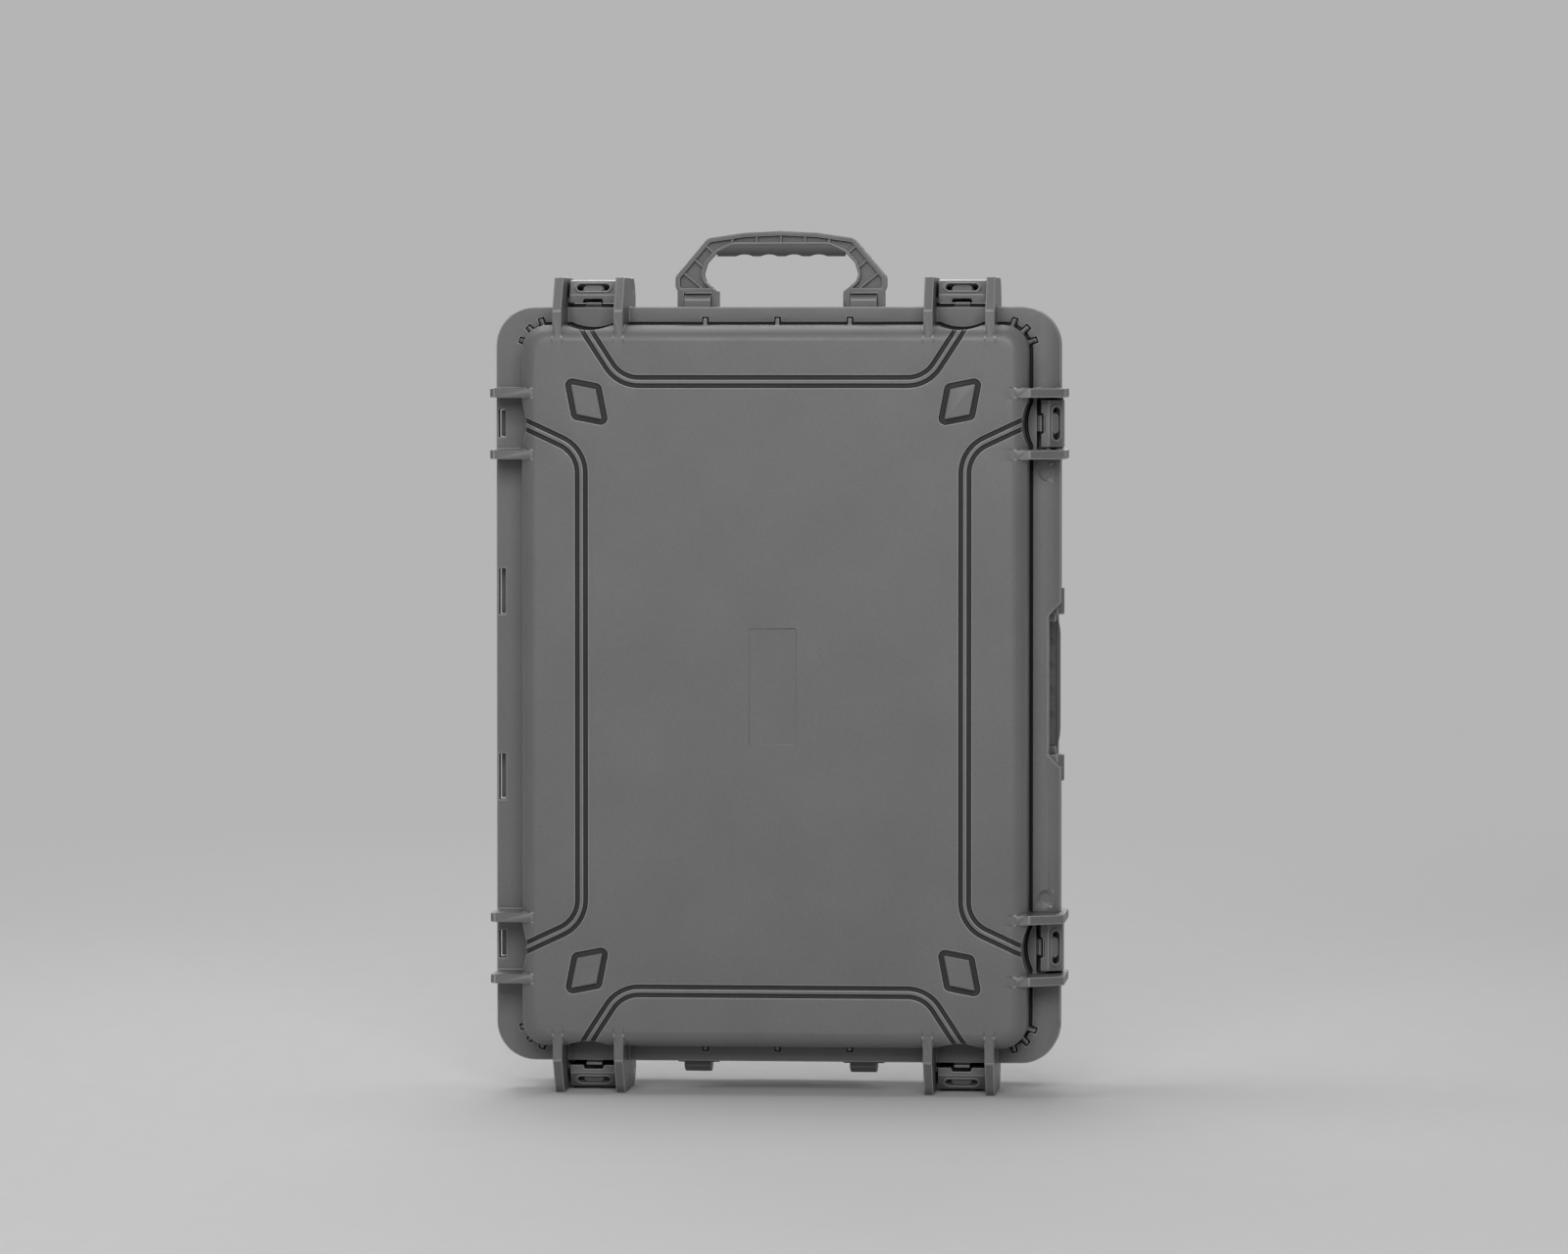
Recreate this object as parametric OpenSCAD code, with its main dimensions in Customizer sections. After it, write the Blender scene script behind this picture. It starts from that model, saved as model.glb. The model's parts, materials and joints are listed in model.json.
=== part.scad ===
// Upright waterproof laptop case: two moulded shells hinged along the left edge,
// six press-button latches, three folding handles and a foam-lined inside.
// The case stands on its lower latch ears with the lid towards -Y and +Z up.

/* [Shells] */
// Width of the two rims that meet at the joint
rim_w = 554; // [530:1:600]
// Height of the two rims that meet at the joint
rim_h = 740; // [720:1:800]
// Corner radius of the rims
rim_r = 38; // [30:1:44]
// Thickness of the lid's rim
lid_rim_t = 14; // [13:0.5:18]
// Thickness of the base's rim
base_rim_t = 16; // [14:0.5:20]
// Width of the rims beside the shells, left and right
side_rim = 30; // [29:0.5:34]
// Width of the rims above and below the shells
end_rim = 18; // [16:0.5:22]
// Corner radius of both shells
shell_r = 25; // [22:0.5:30]
// Depth of the lid from the joint to its face
lid_d = 70; // [62:1:90]
// Depth of the base from the joint to its back
base_d = 112; // [110:1:180]
// Wall of both shells
wall = 4.5; // [4:0.1:6]
// Fillet round the lid's face and the base's back
face_r = 16; // [12:0.5:20]
// Gap between the closed rims
rim_gap = 0.3; // [0.2:0.1:0.6]

/* [Face pattern] */
// Width of each moulded groove
groove_w = 4; // [3:0.1:5]
// Depth of each moulded groove
groove_d = 2.4; // [1.5:0.1:2.8]
// Distance between the two grooves of a pair
groove_step = 8; // [6:0.1:10]
// Width of the end panels, from the shells' ends to their grooves
end_panel_in = 59; // [50:0.5:70]
// How far before the latches the end panels' grooves turn
end_panel_stop = 50; // [44:0.5:60]
// Turn of the end panels' grooves towards the latches, in degrees
end_panel_turn = 57; // [50:1:65]
// Width of the side panels, from the shells' sides to their grooves
side_panel_in = 64; // [56:0.5:72]
// How far before the latches the side panels' grooves turn
side_panel_stop = 48; // [42:0.5:58]
// Turn of the side panels' grooves towards the latches, in degrees
side_panel_turn = 65; // [58:1:72]
// Radius of the bend in the outer groove of each pair
groove_bend = 38; // [30:0.5:44]
// Width of the bare plate recess
plate_w = 46; // [30:1:80]
// Height of the bare plate recess
plate_h = 114; // [60:1:160]
// Depth of the bare plate recess
plate_d = 0.6; // [0.3:0.1:1.5]
// Inset of the corner rings' centres from the shells' sides
ring_side_in = 65; // [57:0.5:77]
// Inset of the corner rings' centres from the shells' ends
ring_end_in = 74.5; // [68:0.5:90]
// Band width of the corner rings
ring_band = 5.3; // [3:0.1:5.6]

/* [Latches] */
// Distance of the upper and lower latches from the middle, as a share of the rims' width
end_latch_share = 0.3267; // [0.31:0.0001:0.34]
// Distance of the side latches from the middle, as a share of the rims' height
side_latch_share = 0.346; // [0.33:0.001:0.352]
// Distance between the two ears of a latch, centre to centre
ear_pitch = 60; // [58:0.5:62]
// Thickness of each ear
ear_t = 9; // [7:0.1:10]
// How far the ears stand out from the latch line
ear_out = 29; // [28:0.5:32]
// How far the flat top of the ears sits behind the lid's face
ear_slope_d = 22; // [16:0.5:26]
// How far back the base ears reach
ear_back = 52; // [50:0.5:60]
// Inset of the side latches from the rim's edge
side_latch_inset = 23; // [18:0.5:24]
// Width of a latch
latch_w = 46; // [42:0.5:47]
// Height of a latch over the latch line
latch_out = 25.5; // [24:0.1:27]
// Distance of a latch's pin behind the joint
latch_pin_y = 36; // [34:0.5:38]
// Height of a latch's pin over the latch line
latch_pin_v = 14; // [13:0.1:15]
// Radius of a latch's pin
latch_pin_r = 3; // [2.5:0.1:3.5]
// Travel of a latch's button
button_travel = 2.5; // [1.5:0.1:3]

/* [Hinge] */
// Distance of the hinge line from the rim's left edge
hinge_in = 8.5; // [8:0.1:9.5]
// Distance of the hinge line behind the joint
hinge_y = 10; // [9.8:0.1:10.5]
// Radius of the hinge rod
rod_r = 2.5; // [2:0.1:3]
// Radius of the hinge knuckles
knuckle_r = 8.5; // [7:0.1:8.8]
// Distance of the hinge rod's ends from the rims' ends
rod_end_in = 73; // [68:0.5:80]

/* [Handles] */
// Width of a handle over its feet
handle_w = 208; // [190:1:230]
// Height of a handle over its pins
handle_h = 79; // [74:0.5:79.5]
// Thickness of a handle
handle_t = 18; // [14:0.5:19]
// Distance of the handle's pins from the shell wall
handle_pin_v = 14; // [13:0.5:16]
// Distance of the handle's pins behind the joint
handle_y = 30.5; // [30.5:0.5:32]
// Width of a handle's bracket block
block_w = 26.4; // [22:0.2:27]
// Radius of a handle's pins
handle_pin_r = 3; // [2.5:0.1:3.5]

/* [Padlock holes] */
// Distance of the padlock holes from the side latches
padlock_step = 48; // [44:0.5:60]
// Distance of the padlock holes from the rim's right edge
padlock_in = 13.5; // [12:0.1:15]
// Radius of the padlock holes
padlock_r = 4.6; // [3:0.1:5]

/* [Inside] */
// Foam left at both sides of the laptop pockets
foam_side_wall = 50; // [42:1:70]
// Foam left above the upper and below the lower laptop pocket
foam_end_wall = 37; // [30:1:50]
// Foam between the laptop pockets and the tool pockets
foam_rib = 20; // [14:1:28]
// Depth of a laptop pocket
laptop_d = 60; // [25:1:66]
// Thickness of the lid's foam
lid_foam_t = 56; // [30:1:57]
// Thickness of the flat pad under the base's foam
base_pad_t = 12; // [8:1:20]

/* [Valve] */
// Radius of the pressure valve's neck
valve_neck_r = 9; // [7:0.1:10]
// Distance of the pressure valve behind the joint
valve_y = 65; // [62:0.5:66]

/* [Hidden] */
$fn = 64;
slip = 0.05;
cut = 1;
half_gap = rim_gap / 2;
inner_r = face_r - wall;
arc_proud = 0.02;
shell_w = rim_w - 2 * side_rim;
shell_h = rim_h - 2 * end_rim;

// Where the latches sit: direction of "outwards", place along the edge, latch line
end_latch_x = end_latch_share * rim_w;
side_latch_z = side_latch_share * rim_h;
end_line = rim_h / 2;
side_line = rim_w / 2 - side_latch_inset;
LATCHES = [
    [90, -end_latch_x, end_line],
    [90, end_latch_x, end_line],
    [270, -end_latch_x, end_line],
    [270, end_latch_x, end_line],
    [0, -side_latch_z, side_line],
    [0, side_latch_z, side_line]
];
HINGE_EARS = [
    [180, -side_latch_z, rim_w / 2],
    [180, side_latch_z, rim_w / 2]
];
function wall_v(st) = ((st[0] == 90 || st[0] == 270) ? shell_h / 2 : shell_w / 2) - st[2];

// Latch: outline of the body in its own side view
nose_y = -20;
nose_v = 4.4;
nose_top_v = 12;
hook_y = -12.6;
crest_y = -10.5;
crest_back_y = -4;
latch_back_y = 28;
latch_skin = 3;
cheek_t = 3.6;
cheek_v = 7;
barrel_r = 9.5;
barrel_gap = 0.4;
incline = atan2(latch_out - nose_top_v, crest_y - nose_y);
incline_len = norm([latch_out - nose_top_v, crest_y - nose_y]);
slot_w = 32;
slot_h = 8.8;
lug_band = 2.6;
lug_out = 1.3;
pad_w = 19;
pad_gap = 0.3;
pad_sink = 1;
button_flange = 1.2;
button_flange_t = 1.6;
button_room = 2.6;
hollow_d = pad_gap + button_flange_t + button_travel + button_room;
nose_fwd = 10;
window_top_v = 8.2;
window_w = 23.5;
window_top_w = 18;
keeper_y0 = 6;
keeper_y1 = 12;
keeper_v0 = 4.6;
keeper_v1 = 9;
keeper_reach = 13;
keeper_block_w = 16;
keeper_block_v0 = 2;
keeper_block_v = 5;
keeper_neck_y = 9;
keeper_root = 2;
ear_step_v = 4;
ear_rear_v = 23;
ear_rear_y = 45;
ear_low_v = 12;
ear_skin = 2;
ear_inset = 0.4;
ear_end_len = 6;
ear_moat = 1.2;
ear_moat_d = 0.8;
saddle_v = 3.9;

// Wave in the lid's wall at each pair of ears
wave_d = 5;
wave_half = 22;
wave_r = (wave_half * wave_half + wave_d * wave_d) / (2 * wave_d);

// Seal
foot_w = 3;
foot_d = 4;
seal_in = -2;
seal_w = 7;
seal_d = 6;
seal_play = 0.2;
ridge_in = 0.5;
ridge_w = 2;
ridge_t = 2.3;
ridge_play = 0.3;

// Right rim: bend, hand opening and padlock pads
padlock_z = side_latch_z - padlock_step;
bend_x = 19;
bend_r = 45;
hand_half = 81;
hand_half_in = 68;
hand_d = 12;
pad_r = 8;
pad_out = 8.6;
pad_face = 12.6;
padlock_mark_r = 5;
padlock_mark_d = 0.5;
padlock_skin = 1.5;

// Gussets on the lid's rim
peg_w = 4;
peg_len = 8;
peg_t = 6;
end_peg_x = 71;
end_peg_len = 7;
peg_moat = 1;
corner_peg_turns = [19, 45, 71];

// Hinge layout upwards from the middle: where the stretches meet, and both ends of each stretch
hinge_x = -rim_w / 2 + hinge_in;
rod_half = rim_h / 2 - rod_end_in;
knuckle_gap = 0.5;
rod_stop = 3.5;
window_half = 13.5;
meet_shares = [0.119, 0.267, 0.444, 0.627, 0.783];
meets = side_latch_z * meet_shares;
window = [side_latch_z - window_half, side_latch_z + window_half];
base_knuckles = [[-meets[0], meets[0]], [meets[2], meets[3]], [meets[4], window[0]]];
lid_knuckles = [[meets[0], meets[1]], [meets[3], meets[4]], [window[1], rod_half + rod_stop]];
open_windows = [[meets[1], meets[2]], window];
web_y = 5;
hinge_room = 0.6;
cover_t = 2.5;
window_x0 = 2.4;
window_x1 = 8.8;

// Corner rings: half edges of the skewed outline, their lengths and turns
ring_u = 11.4;
ring_u_turn = -11;
ring_v = 13.9;
ring_v_turn = -79;
ring_round = 6.5;

// Room of the side rims: between the right latches' ears, outwards from the shells' wall
strip_half = side_latch_z - ear_pitch / 2 - ear_t / 2;

// Directions the three handles face
HANDLE_SIDES = [90, 270, 0];

// Handle outline over its pins: insets from the handle's side, and heights
leg_h = 34;
shoulder_in = 32;
shoulder_x = handle_w / 2 - shoulder_in;
crown = 7;
hole_foot_in = 42.5;
hole_foot_z = 19;
hole_top_z = 65;
hole_side_in = [[hole_foot_in, hole_foot_z], [30, 29.5], [27.5, 36], [31, 47.5], [41.5, 58.5],
    [57, hole_top_z]];
hole_side = [for (p = hole_side_in) [handle_w / 2 - p[0], p[1]]];
outline_r = 7;
band_out = 4.6;
band_in = 2.8;
web_t = 7;
rib_t = 2.2;
rib_d = 15;
rib_pitch = 23.8;
rib_count = 2;
side_ribs_in = [[29, 20.5, 39], [27, 43.5, 42], [38, 57, 42]];
arm_w = 6.6;
arm_play = 0.4;
leg_step = 2;
block_x = handle_w / 2 - leg_step - arm_w - arm_play - block_w / 2;
web_z = 18.4;
block_top = 17.9;
block_half_y = 13.7;
finger_r = 19;
finger_in = 2;
finger_pitch = 24.4;
grip_in = 41;
grip_t = 22;
grip_fit = 0.1;

// Foam
foam_gap = 0.3;
foam_side = 0.5;
foam_face = 3;
foam_r = 20;
foam_floor = 12;
pocket_r = 12;
tool_gap = 24;
tool_h = 44;
tool_d = 50;
finger_pull_r = 22;
foam_w = shell_w - 2 * (wall + foam_side);
foam_h = shell_h - 2 * (wall + foam_side);
laptop_w = foam_w - 2 * foam_side_wall;
laptop_h = foam_h / 2 - foam_end_wall - foam_rib - tool_h / 2;
laptop_z = tool_h / 2 + foam_rib + laptop_h / 2;
tool_w = (laptop_w - 2 * tool_gap) / 3;
tool_x = tool_w + tool_gap;
base_floor = base_d - wall;
base_foam_t = base_floor - base_pad_t - 2 * foam_gap - foam_face;

// Valve
valve_flange_r = 14;
valve_flange_t = 5;
valve_seal_t = 2;
valve_seal_band = 2.5;
valve_nut_t = 6;
valve_thread = 14;
valve_notch = 2.4;
valve_notches = 8;

// The finished model stands on its lower ears, centred over its own box
x_lo = -rim_w / 2;
x_hi = side_line + ear_out;
shift = [-(x_lo + x_hi) / 2, -(base_d - lid_d) / 2, rim_h / 2 + ear_out];

// Frames
module lid_side() { rotate([90, 0, 0]) children(); }
module base_side() { mirror([0, 1, 0]) rotate([90, 0, 0]) children(); }
module on_edge(st) { rotate([0, 90 - st[0], 0]) translate([st[1], 0, st[2]]) children(); }
module side_bar(t) { rotate([90, 0, 90]) linear_extrude(t, center = true) children(); }
module along_x(r, len) { rotate([0, 90, 0]) cylinder(r = r, h = len, center = true); }
module both_ends() { children(); mirror([0, 0, 1]) children(); }
module both_sides() { children(); mirror([1, 0, 0]) children(); }

// Shared outlines
module round_rect(w, h, r) {
    square([w - 2 * r, h], center = true);
    square([w, h - 2 * r], center = true);
    for (sx = [-1, 1], sy = [-1, 1])
        translate([sx * (w / 2 - r), sy * (h / 2 - r)]) circle(r);
}
module quarter(r) { intersection() { circle(r); square(r); } }
module stadium(w, h) {
    square([w - h, h], center = true);
    for (s = [-1, 1]) translate([s * (w - h) / 2, 0]) circle(h / 2);
}

// Box with round corners of radius r and a fillet f round its far face
module soft_box(w, h, r, f, d) {
    linear_extrude(d - f) round_rect(w, h, r);
    translate([0, 0, d - f]) {
        linear_extrude(f) {
            square([w - 2 * r, h - 2 * f], center = true);
            square([w - 2 * f, h - 2 * r], center = true);
        }
        for (m = [0, 1]) {
            mirror([m, 0, 0]) translate([w / 2 - f, 0, 0]) rotate([90, 0, 0])
                linear_extrude(h - 2 * r, center = true) quarter(f);
            mirror([0, m, 0]) translate([0, h / 2 - f, 0]) rotate([90, 0, 90])
                linear_extrude(w - 2 * r, center = true) quarter(f);
        }
        for (mx = [0, 1], my = [0, 1])
            mirror([mx, 0, 0]) mirror([0, my, 0]) translate([w / 2 - r, h / 2 - r, 0])
                rotate_extrude(angle = 90) {
                    square([r - f, f]);
                    translate([r - f, 0]) quarter(f);
                }
    }
}

// Convex outline p made fatter by r. Its arcs stand a hair proud of the sides, so that they cross cleanly.
function edge_out(a, b, r) = let (e = (b - a) / norm(b - a)) r * [e[1], -e[0]];
function fat_outline(p, r) = [
    for (i = [0:len(p) - 1]) let (a = p[i], b = p[(i + 1) % len(p)])
        for (q = [a, b]) q + edge_out(a, b, r)
];
module fat_shape(p, r) {
    polygon(fat_outline(p, r - arc_proud));
    for (q = p) translate(q) circle(r);
}

// Face pattern: grooves round the four panels and the four skewed rings
module bent_groove(centre, run, turn, r) {
    far = (face_r + 2 * groove_bend) * [cos(turn), sin(turn)];
    p = [[-run, centre], [run, centre], [run + far[0], centre + far[1]], [-run - far[0], centre + far[1]]];
    difference() {
        fat_shape(p, r + groove_w / 2);
        fat_shape(p, r - groove_w / 2);
    }
}
module panel_grooves() {
    for (r = [groove_bend, groove_bend - groove_step]) {
        for (phi = [0, 180]) rotate(phi)
            bent_groove(shell_h / 2 - end_panel_in + groove_bend, end_latch_x - end_panel_stop,
                end_panel_turn, r);
        for (phi = [90, 270]) rotate(phi)
            bent_groove(shell_w / 2 - side_panel_in + groove_bend, side_latch_z - side_panel_stop,
                side_panel_turn, r);
    }
}
module corner_ring() {
    u = ring_u * [cos(ring_u_turn), sin(ring_u_turn)];
    v = ring_v * [cos(ring_v_turn), sin(ring_v_turn)];
    p = [u + v, u - v, -u - v, v - u];
    difference() {
        fat_shape(p, ring_round);
        fat_shape(p, ring_round - ring_band);
    }
}
module face_cuts(d, rim_t) {
    intersection() {
        linear_extrude(d + cut) {
            panel_grooves();
            for (mx = [0, 1], my = [0, 1])
                mirror([mx, 0]) mirror([0, my])
                    translate([ring_side_in - shell_w / 2, shell_h / 2 - ring_end_in]) corner_ring();
        }
        difference() {
            translate([0, 0, rim_t]) linear_extrude(d) square([rim_w, rim_h], center = true);
            soft_box(shell_w - 2 * groove_d, shell_h - 2 * groove_d, shell_r - groove_d,
                face_r - groove_d, d - groove_d);
        }
    }
}

// Hinge stretches
module stretches(list, grow, x0, x1, y0, y1) {
    both_ends() for (s = list)
        translate([x0, y0, s[0] - grow]) cube([x1 - x0, y1 - y0, s[1] - s[0] + 2 * grow]);
}
module barrels(list, back) {
    both_ends() for (s = list)
        translate([hinge_x, hinge_y, s[0] + back]) cylinder(r = knuckle_r, h = s[1] - s[0] - 2 * back);
}
module rod_bore() {
    translate([hinge_x, hinge_y, 0]) cylinder(r = rod_r + slip, h = 2 * rod_half + cut, center = true);
}

// Rim of one shell, without the room of the latches on the right
module rim(t) {
    translate([0, 0, half_gap]) linear_extrude(t - half_gap) difference() {
        round_rect(rim_w, rim_h, rim_r);
        for (s = [-1, 1]) translate([side_line + side_latch_inset, s * side_latch_z])
            square([2 * side_latch_inset, ear_pitch - ear_t], center = true);
    }
}

// Openings that both rims share on the right side
module right_openings() {
    rotate([90, 0, 0]) linear_extrude(2 * rim_w, center = true)
        polygon([[rim_w / 2 - hand_d, -hand_half_in],
            [rim_w / 2, -hand_half], [rim_w / 2 + cut, -hand_half],
            [rim_w / 2 + cut, hand_half], [rim_w / 2, hand_half], [rim_w / 2 - hand_d, hand_half_in]]);
    both_ends() translate([rim_w / 2 - padlock_in, padlock_skin - pad_face, padlock_z])
        rotate([-90, 0, 0]) cylinder(r = padlock_r, h = rim_w);
}

// Ears
module lid_ears(st, out, keeper) {
    v = wall_v(st);
    top_h = lid_d - ear_inset;
    mid = face_r * (1 - cos(45)) + ear_skin * sin(45);
    pts = [[-half_gap, v - ear_skin], [-(lid_d - face_r), v - ear_skin], [-(lid_d - mid), v - mid],
        [-top_h, v - face_r + ear_skin], [-top_h, -ear_step_v], [-(lid_d - ear_slope_d), out],
        [-half_gap, out]];
    flat_pts = [[-half_gap, v - ear_skin], [-(lid_d - face_r), v - ear_skin],
        [-(lid_d - mid), v - mid], [-top_h, v - face_r + ear_skin], [-top_h, out - ear_step_v],
        [-(lid_d - ear_step_v), out], [-half_gap, out]];
    for (s = [-1, 1]) translate([s * ear_pitch / 2, 0, 0]) {
        side_bar(ear_t) polygon(keeper ? pts : flat_pts);
        if (keeper) translate([-s * (ear_t / 2 + keeper_reach / 2 - cut / 2), 0, 0])
            side_bar(keeper_reach + cut) translate([-keeper_y1, keeper_v0])
                square([keeper_y1 - keeper_y0, keeper_v1 - keeper_v0]);
    }
    if (keeper) side_bar(keeper_block_w)
        polygon([[-lid_rim_t, keeper_block_v0], [-lid_rim_t, keeper_block_v], [-keeper_y0, keeper_block_v],
            [-keeper_y0, -keeper_root], [-keeper_neck_y, -keeper_root],
            [-keeper_neck_y, keeper_block_v0]]);
}
module base_ears(st) {
    v = wall_v(st);
    for (s = [-1, 1]) translate([s * ear_pitch / 2, 0, 0]) side_bar(ear_t)
        polygon([[half_gap, v - ear_skin], [half_gap, ear_out], [latch_pin_y, ear_out],
            [ear_rear_y, ear_rear_v], [ear_back, ear_low_v], [ear_back, v - ear_skin]]);
    side_bar(ear_pitch) translate([latch_back_y, v - ear_skin])
        square([ear_rear_y - latch_back_y, saddle_v + ear_skin - v]);
}

// Shells
module wave_2d(st, grow) {
    rotate(st[0] - 90) translate([st[1], st[2] + wall_v(st) + wave_r - wave_d])
        circle(wave_r + grow, $fn = 2 * $fn);
}
module wave(st, grow) {
    translate([0, 0, -cut]) linear_extrude(lid_d + 2 * cut) wave_2d(st, grow);
}

// Seam round the lid's wall, which follows the waves
module seam_2d() {
    difference() {
        ring_2d(0, foot_w);
        for (st = concat(LATCHES, HINGE_EARS)) wave_2d(st, 0);
    }
    for (st = concat(LATCHES, HINGE_EARS)) intersection() {
        round_rect(shell_w + 2 * foot_w, shell_h + 2 * foot_w, shell_r + foot_w);
        difference() { wave_2d(st, 0); wave_2d(st, -foot_w); }
    }
}
module lid_hollow() {
    difference() {
        translate([0, 0, -cut])
            soft_box(shell_w - 2 * wall, shell_h - 2 * wall, shell_r - wall, inner_r, lid_d - wall + cut);
        for (st = concat(LATCHES, HINGE_EARS)) wave(st, wall);
    }
}
module ring_2d(inner, w) {
    difference() {
        round_rect(shell_w + 2 * (inner + w), shell_h + 2 * (inner + w), shell_r + inner + w);
        round_rect(shell_w + 2 * inner, shell_h + 2 * inner, shell_r + inner);
    }
}
module wave_bands() {
    difference() {
        for (st = concat(LATCHES, HINGE_EARS)) wave(st, 0);
        translate([0, 0, -2 * cut]) linear_extrude(lid_rim_t + 2 * cut)
            square([2 * rim_w, 2 * rim_h], center = true);
    }
}
module lid_main() {
    difference() {
        union() {
            rim(lid_rim_t);
            translate([0, 0, half_gap])
                soft_box(shell_w, shell_h, shell_r, face_r, lid_d - half_gap);
        }
        lid_hollow();
        wave_bands();
        face_cuts(lid_d, lid_rim_t);
        translate([0, 0, lid_rim_t - foot_d]) linear_extrude(foot_d + cut) seam_2d();
        translate([0, 0, lid_d - plate_d]) linear_extrude(plate_d + cut)
            square([plate_w, plate_h], center = true);
        translate([rim_w / 2 - bend_x, 0, lid_rim_t - bend_r]) rotate([90, 0, 0])
            linear_extrude(2 * rim_h, center = true) difference() {
                square([bend_r, bend_r + cut]);
                circle(bend_r, $fn = 2 * $fn);
            }
        translate([0, 0, pad_face]) linear_extrude(lid_rim_t) pads();
        padlock_marks();
        pegs(foot_w / 2, peg_moat);
    }
    difference() {
        translate([0, 0, rim_gap]) linear_extrude(pad_face - rim_gap) pads();
        padlock_marks();
    }
    pegs(-ear_skin, 0);
}
module both_ends_y() { children(); mirror([0, 1, 0]) children(); }

// Flat places over the padlock holes, straight towards the rim's edge, with the holes marked in them
module padlock_marks() {
    both_ends_y() translate([rim_w / 2 - padlock_in, padlock_z, pad_face - padlock_mark_d])
        cylinder(r = padlock_mark_r, h = lid_rim_t);
}
module pads() {
    both_ends_y() translate([rim_w / 2 - padlock_in, padlock_z]) {
        circle(pad_r);
        translate([0, arc_proud - pad_r]) square([pad_out, 2 * (pad_r - arc_proud)]);
    }
}

// Gussets from the wall over the rim, grown by g, from a root distance beside the wall
module pegs(root, g) {
    for (mx = [0, 1], my = [0, 1]) mirror([mx, 0, 0]) mirror([0, my, 0])
        translate([shell_w / 2 - shell_r, shell_h / 2 - shell_r, lid_rim_t - foot_d])
            for (a = corner_peg_turns) rotate(a)
                translate([shell_r + root, -peg_w / 2 - g, 0])
                    cube([peg_len - root + g, peg_w + 2 * g, foot_d + peg_t / 2]);
    both_ends_y() for (k = [-1:1])
        translate([k * end_peg_x - peg_w / 2 - g, shell_h / 2 + root, lid_rim_t - foot_d])
            cube([peg_w + 2 * g, end_peg_len - root + g, foot_d + peg_t / 2]);
}

// Lines beside the ears' ends that run out in the lid's face
module ear_moats(st) {
    v = wall_v(st) - face_r;
    for (s = [-1, 1], m = [-1, 1])
        translate([s * ear_pitch / 2 + m * (ear_t + ear_moat) / 2, 0, 0]) side_bar(ear_moat)
            polygon([[-lid_d - cut, v + ear_skin], [ear_moat_d - lid_d, v + ear_skin],
                [-lid_d, v - ear_end_len], [-lid_d - cut, v - ear_end_len]]);
}

// The side rims are pieces of their own, so that the padlock holes lie in small solids
module side_rim_room() {
    translate([shell_w / 2, -lid_d, -strip_half])
        cube([rim_w, lid_d + (base_rim_t + handle_y - block_half_y) / 2, 2 * strip_half]);
}
module lid_shell() { color("dimgray") difference() { lid_moulding(); side_rim_room(); } }
module lid_side_rim() { color("dimgray") intersection() { lid_moulding(); side_rim_room(); } }
module base_shell() { color("dimgray") difference() { base_moulding(); side_rim_room(); } }
module base_side_rim() { color("dimgray") intersection() { base_moulding(); side_rim_room(); } }
module lid_moulding() {
    difference() {
        union() {
            lid_side() lid_main();
            for (st = LATCHES) on_edge(st) lid_ears(st, ear_out, true);
            for (st = HINGE_EARS) on_edge(st) lid_ears(st, 0, false);
            stretches(lid_knuckles, 0, x_lo, hinge_x + knuckle_r, -web_y, hinge_y);
            barrels(lid_knuckles, 0);
        }
        stretches(open_windows, 0, x_lo + window_x0, x_lo + window_x1, -lid_d, hinge_y);
        rod_bore();
        for (st = LATCHES) on_edge(st) ear_moats(st);
        lid_side() translate([0, 0, -cut]) linear_extrude(seal_d + cut) ring_2d(seal_in, seal_w);
        intersection() {
            right_openings();
            translate([0, -lid_rim_t, 0]) cube([2 * rim_w, 4 * lid_rim_t, 2 * rim_h], center = true);
        }
    }
}

// Handle parts are drawn raised, over the middle of their pins
module bracket_blocks() {
    both_sides() translate([block_x, 0, 0]) difference() {
        side_bar(block_w) {
            translate([-block_half_y, -handle_pin_v - ear_skin])
                square([2 * block_half_y, handle_pin_v + ear_skin]);
            intersection() {
                circle(block_top);
                translate([-block_half_y, 0]) square([2 * block_half_y, block_top]);
            }
        }
        along_x(handle_pin_r + slip, 2 * block_w);
    }
}
module at_handle(phi) {
    line = (phi == 0 ? shell_w : shell_h) / 2 + handle_pin_v;
    rotate([0, 90 - phi, 0]) translate([0, handle_y, line]) children();
}

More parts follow.
